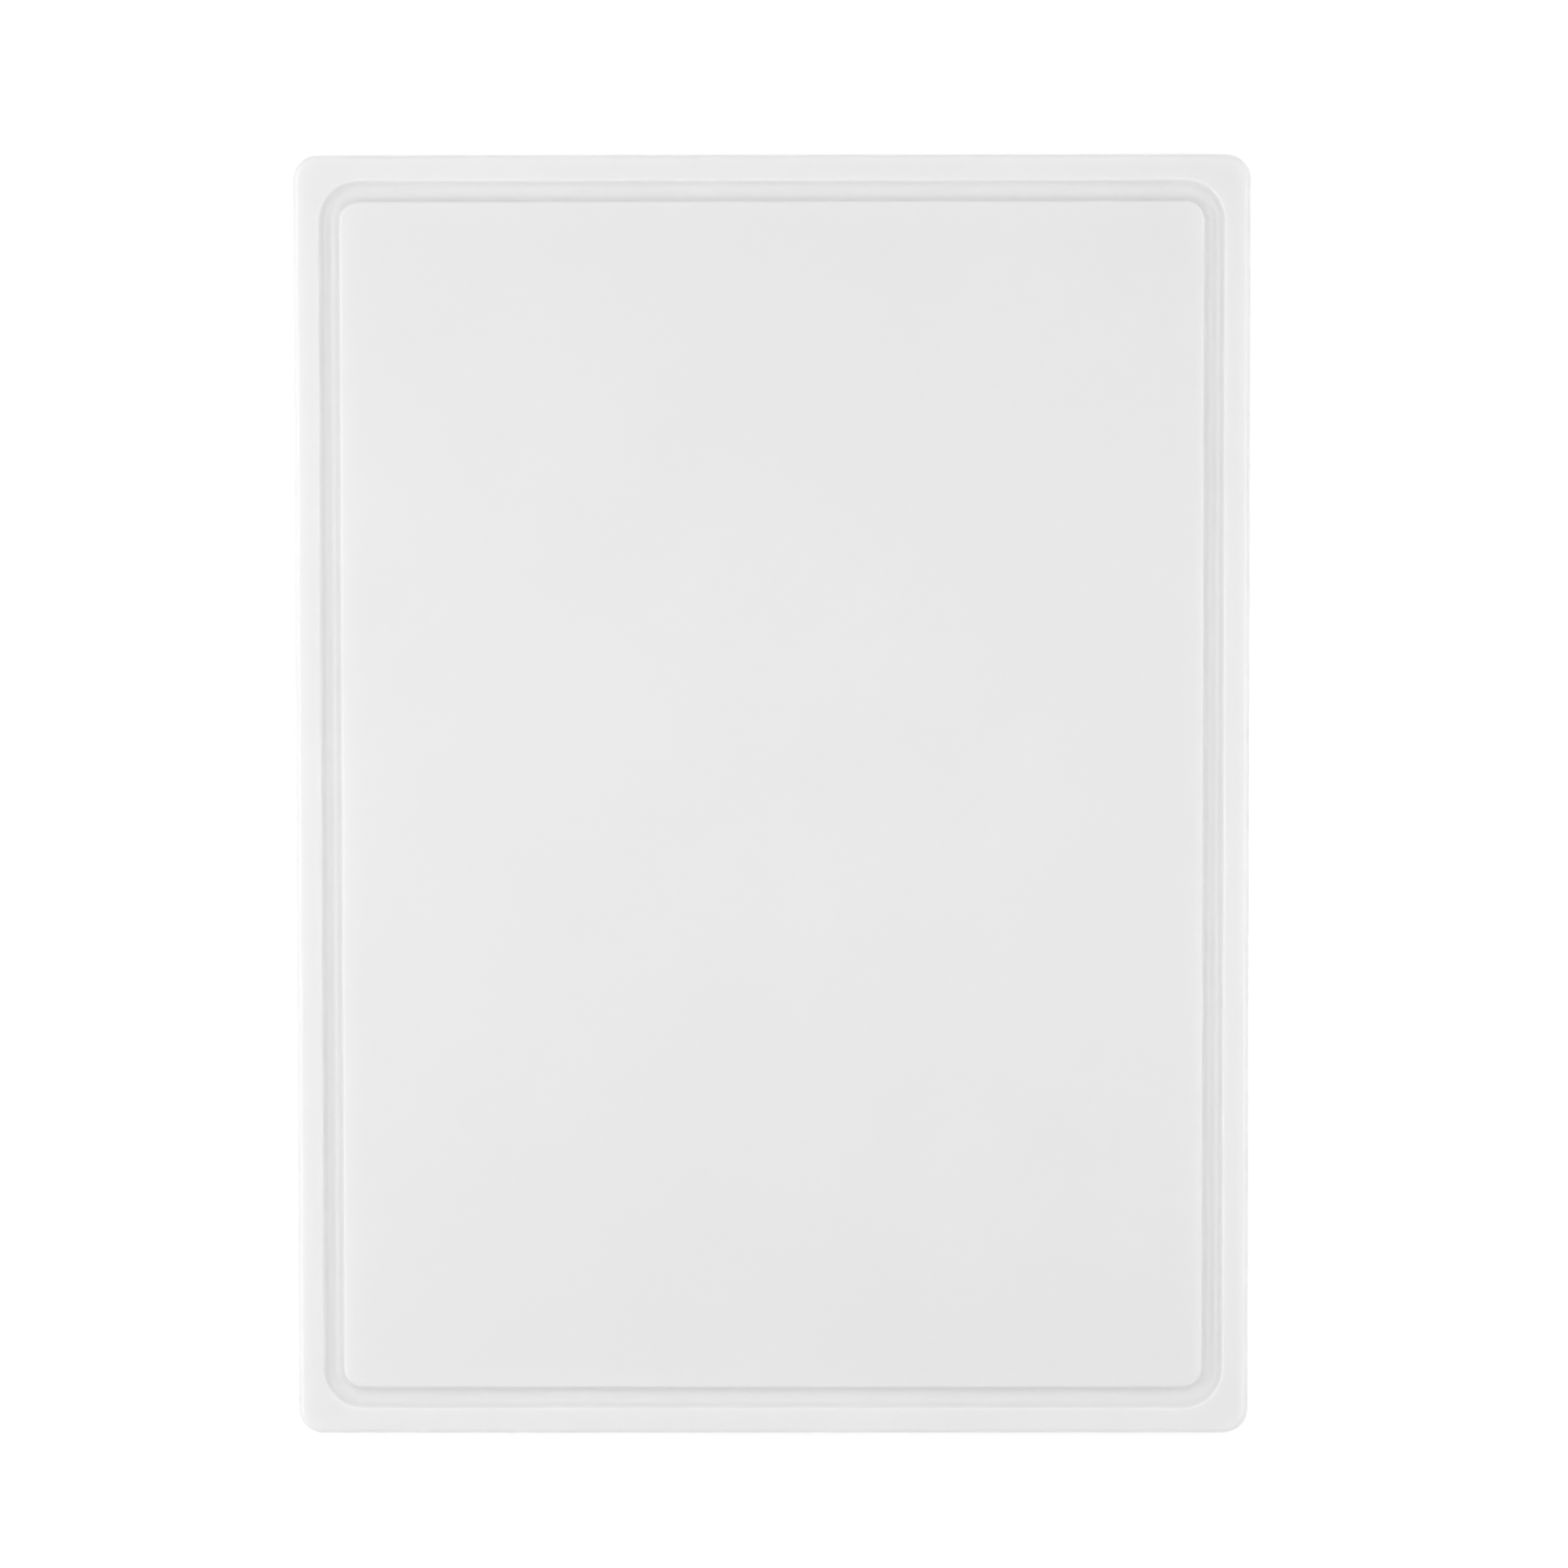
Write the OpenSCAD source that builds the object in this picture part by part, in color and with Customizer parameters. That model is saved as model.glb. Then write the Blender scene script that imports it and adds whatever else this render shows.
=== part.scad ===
// Flat plastic cutting board with a routed juice groove, cut from one sheet.
// The board lies flat: X is its width, Y its length, and Z = 0 is its underside.

/* [Board] */
// Width of the board
board_w = 455; // [200:1:600]
// Length of the board
board_l = 610; // [250:1:900]
// Thickness of the sheet
board_t = 12.7; // [10:0.1:30]
// Radius of the four corners of the outline
corner_r = 12; // [6:0.5:25]
// Radius rounded over on the top and bottom edges
edge_r = 3.2; // [0.5:0.1:4.5]

/* [Juice groove] */
// Distance from the edge of the board to the centre line of the groove
groove_in = 17.5; // [16:0.5:45]
// Depth of the groove
groove_d = 4.6; // [2.5:0.1:4.9]
// Radius of the round-nosed cutter, which shapes the floor and the walls
nose_r = 4.75; // [4.7:0.05:8]
// Radius that eases the two lips of the groove
lip_r = 1.5; // [0.3:0.1:2]
// Radius of the groove's centre line at the corners
groove_r = 14; // [12:0.5:40]

/* [Hidden] */
// Curves are drawn with this many steps to the circle
$fn = 96;
// How far a cutter stands clear of the surface that it cuts
clear = 1;
// The lips overlap the nose by this much, so that the two curves cross cleanly
bite = 0.002;
// Height of the nose's centre above the centres of the lips
rise = nose_r + lip_r - groove_d;
// The lips start to turn down this far from the centre line of the groove
lip_x = sqrt(pow(nose_r + lip_r - bite, 2) - pow(rise, 2));
// The lips give way to the nose this far below the face
meet_y = lip_r * (1 - rise / (nose_r + lip_r));

// Outline of the board, a rectangle with true arcs at its corners
module outline(w, l, r) {
    square([w, l - 2 * r], center = true);
    square([w - 2 * r, l], center = true);
    for (x = [-1, 1], y = [-1, 1])
        translate([x * (w / 2 - r), y * (l / 2 - r)])
            circle(r);
}

// Carries a cutter's section round a path with rounded corners, as a router bit follows a jig.
// In the section, X points out of the board and Y points up.
module route(w, l, r) {
    for (half = [0, 180]) {
        rotate(half)
            translate([w / 2, 0, 0])
                rotate([90, 0, 0])
                    linear_extrude(l - 2 * r, center = true)
                        children();
        rotate(half + 90)
            translate([l / 2, 0, 0])
                rotate([90, 0, 0])
                    linear_extrude(w - 2 * r, center = true)
                        children();
    }
    for (corner = [[1, 1, 0], [-1, 1, 90], [-1, -1, 180], [1, -1, 270]])
        translate([corner[0] * (w / 2 - r), corner[1] * (l / 2 - r), 0])
            rotate(corner[2])
                rotate_extrude(angle = 90)
                    translate([r, 0])
                        children();
}

// Section of the round-over bit, with the sharp edge of the sheet at its origin
module edge_bit() {
    difference() {
        translate([-edge_r, -edge_r])
            square(edge_r + clear);
        translate([-edge_r, -edge_r])
            circle(edge_r);
    }
}

// Section of the groove: the round nose of the cutter, opening at the top over two eased lips
module groove_bit() {
    difference() {
        union() {
            translate([0, nose_r - groove_d])
                circle(nose_r);
            polygon([[-lip_x, -meet_y], [lip_x, -meet_y], [lip_x, clear], [-lip_x, clear]]);
        }
        for (x = [-1, 1])
            translate([x * lip_x, -lip_r])
                circle(lip_r);
    }
}

// The board: one sheet, its edges rounded over above and below, and the groove routed in its top
module board() {
    color("whitesmoke")
        difference() {
            linear_extrude(board_t)
                outline(board_w, board_l, corner_r);
            translate([0, 0, board_t])
                route(board_w, board_l, corner_r)
                    edge_bit();
            mirror([0, 0, 1])
                route(board_w, board_l, corner_r)
                    edge_bit();
            translate([0, 0, board_t])
                route(board_w - 2 * groove_in, board_l - 2 * groove_in, groove_r)
                    groove_bit();
        }
}

board();
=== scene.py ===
import math

import bmesh
import bpy
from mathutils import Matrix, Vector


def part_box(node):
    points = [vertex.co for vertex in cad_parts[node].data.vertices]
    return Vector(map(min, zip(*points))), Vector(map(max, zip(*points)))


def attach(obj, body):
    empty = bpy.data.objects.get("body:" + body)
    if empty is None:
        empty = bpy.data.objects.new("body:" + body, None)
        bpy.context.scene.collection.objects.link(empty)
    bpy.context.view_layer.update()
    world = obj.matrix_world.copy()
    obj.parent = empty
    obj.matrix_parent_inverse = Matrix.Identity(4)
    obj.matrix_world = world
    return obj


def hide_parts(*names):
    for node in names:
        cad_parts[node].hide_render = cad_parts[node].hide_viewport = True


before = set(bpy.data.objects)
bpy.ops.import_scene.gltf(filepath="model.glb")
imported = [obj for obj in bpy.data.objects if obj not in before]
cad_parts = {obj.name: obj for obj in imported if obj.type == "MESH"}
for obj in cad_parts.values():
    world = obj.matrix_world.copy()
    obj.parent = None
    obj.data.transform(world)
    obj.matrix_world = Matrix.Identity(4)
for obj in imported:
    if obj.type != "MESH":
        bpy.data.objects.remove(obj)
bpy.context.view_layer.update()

scene = bpy.context.scene


# ---------------------------------------------------------------------------------------------
# The board. One half-inch sheet of natural white high-density polyethylene, pressed, planed and
# sawn to size. Its corners are rounded and its edges eased above and below with a round-over bit,
# and one juice groove is routed round the cutting face with a round-nosed cutter, its lips eased.
# ---------------------------------------------------------------------------------------------

mm = 0.001
lowest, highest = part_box("board")
half_width = (highest.x - lowest.x) / 2
half_length = (highest.y - lowest.y) / 2
thickness = highest.z - lowest.z

corner_radius = 12 * mm
edge_radius = 3.2 * mm
groove_inset = 17.5 * mm
groove_depth = 4.6 * mm
groove_corner = 14 * mm
cutter_radius = 4.75 * mm
lip_radius = 1.5 * mm

# The corners of the edge turn about one centre and those of the groove about another, further in
edge_centre = corner_radius
groove_centre = groove_inset + groove_corner

arc_steps = 12
corner_steps = 32
width_steps = 22
length_steps = 30


def arc(inset, height, radius, start, end, centre):
    """A rounded edge in section, as points of inset from the board's edge, height and corner centre.
    The angles are in degrees, where 0 points out of the board and 90 points up."""
    points = []
    for step in range(arc_steps + 1):
        angle = math.radians(start + (end - start) * step / arc_steps)
        points.append((inset - radius * math.cos(angle), height + radius * math.sin(angle), centre))
    return points


# The groove's round floor leans up to its steepest where it meets the rounded lips
lean = math.acos(1 - groove_depth / (cutter_radius + lip_radius))
lip_reach = (cutter_radius + lip_radius) * math.sin(lean)
steepest = math.degrees(lean)
lip_height = thickness - lip_radius
cutter_height = thickness - groove_depth + cutter_radius

# The section runs from the underside up the side, over the rim, through the groove and onto the
# field. A narrow land beside each rounded edge keeps the wide faces flat in their shading.
land = 0.3 * mm
section = [(edge_radius + land, 0, edge_centre)]
section += arc(edge_radius, edge_radius, edge_radius, -90, 0, edge_centre)
section += [(0, edge_radius + land, edge_centre)]
side_middle = len(section)
section += [(0, thickness / 2, edge_centre)]
section += [(0, thickness - edge_radius - land, edge_centre)]
section += arc(edge_radius, thickness - edge_radius, edge_radius, 0, 90, edge_centre)
section += [(edge_radius + land, thickness, edge_centre)]
section += [(groove_inset - lip_reach - land, thickness, groove_centre)]
section += arc(groove_inset - lip_reach, lip_height, lip_radius, 90, 90 + steepest, groove_centre)
section += arc(groove_inset, cutter_height, cutter_radius, steepest - 90, -90, groove_centre)[1:-1]
section += arc(groove_inset, cutter_height, cutter_radius, -90, -90 - steepest, groove_centre)[:-1]
section += arc(groove_inset + lip_reach, lip_height, lip_radius, 90 - steepest, 90, groove_centre)
section += [(groove_inset + lip_reach + land, thickness, groove_centre)]

# Points this close to the height of a flat face count as part of it
face_margin = 0.001 * mm

# How far round the section each of its points lies from the first
travel = [0]
for (inset, height, _), (next_inset, next_height, _) in zip(section, section[1:]):
    travel.append(travel[-1] + math.hypot(next_inset - inset, next_height - height))


def outline(inset, centre):
    """Points of a rectangle with round corners, counter-clockwise from above. Every outline has the
    same number of points, so that neighbours join with four-sided faces."""
    radius = centre - inset
    across, along = half_width - centre, half_length - centre
    corners = [(across, along), (-across, along), (-across, -along), (across, -along)]
    points = []
    for number, (x, y) in enumerate(corners):
        for step in range(corner_steps + 1):
            angle = math.radians(90 * (number + step / corner_steps))
            points.append((x + radius * math.cos(angle), y + radius * math.sin(angle)))
        start_x, start_y = points[-1]
        next_x, next_y = corners[(number + 1) % 4]
        side_steps = (width_steps, length_steps)[number % 2]
        for step in range(1, side_steps):
            share = step / side_steps
            points.append((start_x + (next_x - x) * share, start_y + (next_y - y) * share))
    return points


def flat_face(mesh, ring, height, centre):
    """Closes a flat face inside a ring with a grid in the middle, a strip along each side and a fan at
    each corner. The faces wind the way that they do on the upper side."""
    across, along = half_width - centre, half_length - centre
    columns = []
    for i in range(width_steps + 1):
        x = across * (1 - 2 * i / width_steps)
        heights = [along * (1 - 2 * j / length_steps) for j in range(length_steps + 1)]
        columns.append([mesh.verts.new((x, y, height)) for y in heights])
    far_side = [column[0] for column in columns]
    near_side = [column[-1] for column in reversed(columns)]
    faces = []
    for here, beside in zip(columns, columns[1:]):
        for j in range(length_steps):
            faces.append((here[j], beside[j], beside[j + 1], here[j + 1]))
    place = 0
    for side in (far_side, columns[-1], near_side, columns[0][::-1]):
        for step in range(corner_steps):
            faces.append((side[0], ring[place + step], ring[place + step + 1]))
        place += corner_steps
        for first, second in zip(side, side[1:]):
            faces.append((first, ring[place], ring[(place + 1) % len(ring)], second))
            place += 1
    return faces


def board_mesh():
    """The board's surface. Its map lays the surface flat in two sheets side by side, the cutting face
    and the underside, each with its half of the edge rolled out round it."""
    mesh = bmesh.new()
    flat_map = mesh.loops.layers.uv.new("OFBake")
    cut = mesh.verts.layers.float.new("cut")
    across_cut = mesh.verts.layers.float.new("across_cut")
    rings = []
    for (inset, height, centre), distance in zip(section, travel):
        ring = [mesh.verts.new((x, y, height)) for x, y in outline(inset, centre)]
        for vert in ring:
            vert[cut] = 1 if 0 < height < thickness - face_margin else 0
            vert[across_cut] = distance
        rings.append(ring)

    gap = 6 * mm
    top_reach = half_width - section[-1][0] + travel[-1] - travel[side_middle]
    bottom_reach = half_width - section[0][0] + travel[side_middle]
    span = 2 * (top_reach + bottom_reach) + 3 * gap

    def map_place(x, y, upper):
        if upper:
            return ((gap + top_reach + x) / span, 0.5 + y / span)
        return ((2 * gap + 2 * top_reach + bottom_reach - x) / span, 0.5 + y / span)

    def rolled_out(place, upper):
        centre = section[place][2]
        if upper:
            return outline(section[-1][0] - travel[-1] + travel[place], centre)
        return outline(section[0][0] - travel[place], centre)

    for place in range(len(rings) - 1):
        upper = place >= side_middle
        lower_ring, upper_ring = rings[place], rings[place + 1]
        lower_map, upper_map = rolled_out(place, upper), rolled_out(place + 1, upper)
        for point in range(len(lower_ring)):
            after = (point + 1) % len(lower_ring)
            corners = (lower_ring[point], lower_ring[after], upper_ring[after], upper_ring[point])
            face = mesh.faces.new(corners)
            flat = (lower_map[point], lower_map[after], upper_map[after], upper_map[point])
            for loop, (x, y) in zip(face.loops, flat):
                loop[flat_map].uv = map_place(x, y, upper)

    for ring, height, centre, upper in ((rings[0], 0, edge_centre, False),
                                        (rings[-1], thickness, groove_centre, True)):
        for corners in flat_face(mesh, ring, height, centre):
            face = mesh.faces.new(corners if upper else corners[::-1])
            for loop in face.loops:
                loop[flat_map].uv = map_place(loop.vert.co.x, loop.vert.co.y, upper)

    for face in mesh.faces:
        face.smooth = True
    data = bpy.data.meshes.new("cutting_board")
    mesh.to_mesh(data)
    mesh.free()
    return data


def ramp(nodes, links, value, start, end, first, last):
    """A value that goes from first to last while the given one goes from start to end."""
    fit = nodes.new("ShaderNodeMapRange")
    fit.inputs["From Min"].default_value = start
    fit.inputs["From Max"].default_value = end
    fit.inputs["To Min"].default_value = first
    fit.inputs["To Max"].default_value = last
    links.new(value, fit.inputs["Value"])
    return fit.outputs["Result"]


def natural_polyethylene():
    """Milky plastic that light soaks into, so that the edges glow. The pressed faces have a fine grain,
    and the cut edges and the groove are smoother, with faint lines that follow the cutter."""
    material = bpy.data.materials.new("natural_polyethylene")
    material.use_nodes = True
    nodes, links = material.node_tree.nodes, material.node_tree.links
    shader = nodes["Principled BSDF"]
    shader.inputs["IOR"].default_value = 1.54
    shader.inputs["Subsurface Weight"].default_value = 1.0
    shader.inputs["Subsurface Radius"].default_value = (1.0, 1.0, 1.0)
    shader.inputs["Subsurface Scale"].default_value = 10 * mm
    place = nodes.new("ShaderNodeTexCoord").outputs["Object"]

    def noise(size, detail):
        texture = nodes.new("ShaderNodeTexNoise")
        texture.inputs["Scale"].default_value = 1 / size
        texture.inputs["Detail"].default_value = detail
        links.new(place, texture.inputs["Vector"])
        return texture

    def spread(value, low, high):
        return ramp(nodes, links, value, 0.3, 0.7, low, high)

    def attribute(name):
        reader = nodes.new("ShaderNodeAttribute")
        reader.attribute_name = name
        return reader.outputs["Fac"]

    def on_cuts(faces, cuts):
        choice = nodes.new("ShaderNodeMix")
        links.new(attribute("cut"), choice.inputs["Factor"])
        links.new(faces, choice.inputs["A"])
        links.new(cuts, choice.inputs["B"])
        return choice.outputs["Result"]

    # Colour: milky clouds a hand's breadth across, hardly lighter or darker than the rest
    shade = nodes.new("ShaderNodeCombineColor")
    cloud = spread(noise(80 * mm, 3).outputs["Fac"], 0.779, 0.787)
    for channel in ("Red", "Green", "Blue"):
        links.new(cloud, shade.inputs[channel])
    links.new(shade.outputs["Color"], shader.inputs["Base Color"])

    faces = spread(noise(7 * mm, 5).outputs["Fac"], 0.44, 0.54)
    cuts = spread(noise(3 * mm, 3).outputs["Fac"], 0.34, 0.42)
    links.new(on_cuts(faces, cuts), shader.inputs["Roughness"])

    # Relief: grain about a millimetre across on the faces, and cutter lines along the cuts, which
    # change slowly along the board and quickly across the cut
    line_spacing = 0.35 * mm
    lines = noise(120 * mm, 1)
    lines.noise_dimensions = "4D"
    turn = nodes.new("ShaderNodeMath")
    turn.operation = "MULTIPLY"
    turn.inputs[1].default_value = 1 / line_spacing
    links.new(attribute("across_cut"), turn.inputs[0])
    links.new(turn.outputs["Value"], lines.inputs["W"])
    relief = nodes.new("ShaderNodeBump")
    relief.inputs["Strength"].default_value = 1.0
    relief.inputs["Distance"].default_value = 0.012 * mm
    fine_lines = spread(lines.outputs["Fac"], 0.45, 0.55)
    links.new(on_cuts(noise(1.1 * mm, 2).outputs["Fac"], fine_lines), relief.inputs["Height"])
    links.new(relief.outputs["Normal"], shader.inputs["Normal"])
    return material


board = bpy.data.objects.new("cutting_board", board_mesh())
scene.collection.objects.link(board)
board.data.materials.append(natural_polyethylene())
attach(board, "root")
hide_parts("board")


# ---------------------------------------------------------------------------------------------
# The table. A wide sheet of matt white paper that the board lies on. Its glow is painted light, with no
# lamp below it.
# The glow is faint round the board, enough to lighten the board's shadow, and stronger far off where
# the lamps' light falls away, so that the table has no far edge.
# ---------------------------------------------------------------------------------------------

table_reach = 30
corners = [(-table_reach, -table_reach, 0), (table_reach, -table_reach, 0),
           (table_reach, table_reach, 0), (-table_reach, table_reach, 0)]
table_sheet = bpy.data.meshes.new("table")
table_sheet.from_pydata(corners, [], [(0, 1, 2, 3)])
table = bpy.data.objects.new("table", table_sheet)
scene.collection.objects.link(table)


def paper_with_painted_glow():
    material = bpy.data.materials.new("paper_with_painted_glow")
    material.use_nodes = True
    nodes, links = material.node_tree.nodes, material.node_tree.links
    shader = nodes["Principled BSDF"]
    shader.inputs["Base Color"].default_value = (0.9, 0.9, 0.9, 1)
    shader.inputs["Roughness"].default_value = 1.0
    shader.inputs["Specular IOR Level"].default_value = 0.0
    shader.inputs["Emission Color"].default_value = (1, 1, 1, 1)
    distance = nodes.new("ShaderNodeVectorMath")
    distance.operation = "LENGTH"
    links.new(nodes.new("ShaderNodeTexCoord").outputs["Object"], distance.inputs[0])
    # Painted light: emission that grows with distance from the board, lightening its shadow nearby and
    # making up for the lamps' falloff far off
    painted_light = ramp(nodes, links, distance.outputs["Value"], 0.6, 1.8, 0.25, 0.66)
    links.new(painted_light, shader.inputs["Emission Strength"])
    return material


table_sheet.materials.append(paper_with_painted_glow())


# ---------------------------------------------------------------------------------------------
# The studio. A long soft box stands along each side of the board, the left one a little stronger,
# with weaker ones at its ends and a small one overhead. The camera hangs nearly plumb over the
# board on a long lens.
# ---------------------------------------------------------------------------------------------

def soft_box(name, azimuth, elevation, distance, width, height, power):
    """A light panel that faces the board. Azimuth is in degrees from +X towards +Y."""
    panel = bpy.data.lights.new(name, "AREA")
    panel.shape = "RECTANGLE"
    panel.size = width
    panel.size_y = height
    panel.energy = power
    light = bpy.data.objects.new(name, panel)
    scene.collection.objects.link(light)
    turn, rise = math.radians(azimuth), math.radians(elevation)
    light.location = (distance * math.cos(turn) * math.cos(rise),
                      distance * math.sin(turn) * math.cos(rise),
                      distance * math.sin(rise))
    light.rotation_euler = (-light.location).to_track_quat("-Z", "Y").to_euler()
    light.visible_camera = False


soft_box("left_strip", 180, 45, 1.4, 1.8, 0.5, 13.6)
soft_box("right_strip", 0, 45, 1.4, 1.8, 0.5, 11.1)
soft_box("far_box", 90, 45, 1.6, 0.9, 0.7, 4.1)
soft_box("near_box", -90, 45, 1.6, 0.9, 0.7, 3.2)
soft_box("top_box", 0, 90, 1.0, 0.6, 0.6, 1.3)

# The room is pale round the table and dark overhead
room = bpy.data.worlds.new("room")
room.use_nodes = True
room_nodes, room_links = room.node_tree.nodes, room.node_tree.links
direction = room_nodes.new("ShaderNodeTexCoord")
height = room_nodes.new("ShaderNodeSeparateXYZ")
room_links.new(direction.outputs["Generated"], height.inputs["Vector"])
room_glow = ramp(room_nodes, room_links, height.outputs["Z"], 0.17, 0.32, 0.7, 0.0)
room_links.new(room_glow, room_nodes["Background"].inputs["Strength"])
room_nodes["Background"].inputs["Color"].default_value = (1, 1, 1, 1)
scene.world = room
scene.view_settings.view_transform = "Standard"

lens = bpy.data.cameras.new("camera")
lens.lens = 80
lens.sensor_width = 36
camera = bpy.data.objects.new("camera", lens)
scene.collection.objects.link(camera)
camera.location = (10.3 * mm, 53.2 * mm, 1671.4 * mm)
camera.rotation_euler = (math.radians(-1.62), math.radians(0.16), math.radians(-0.056))
scene.camera = camera
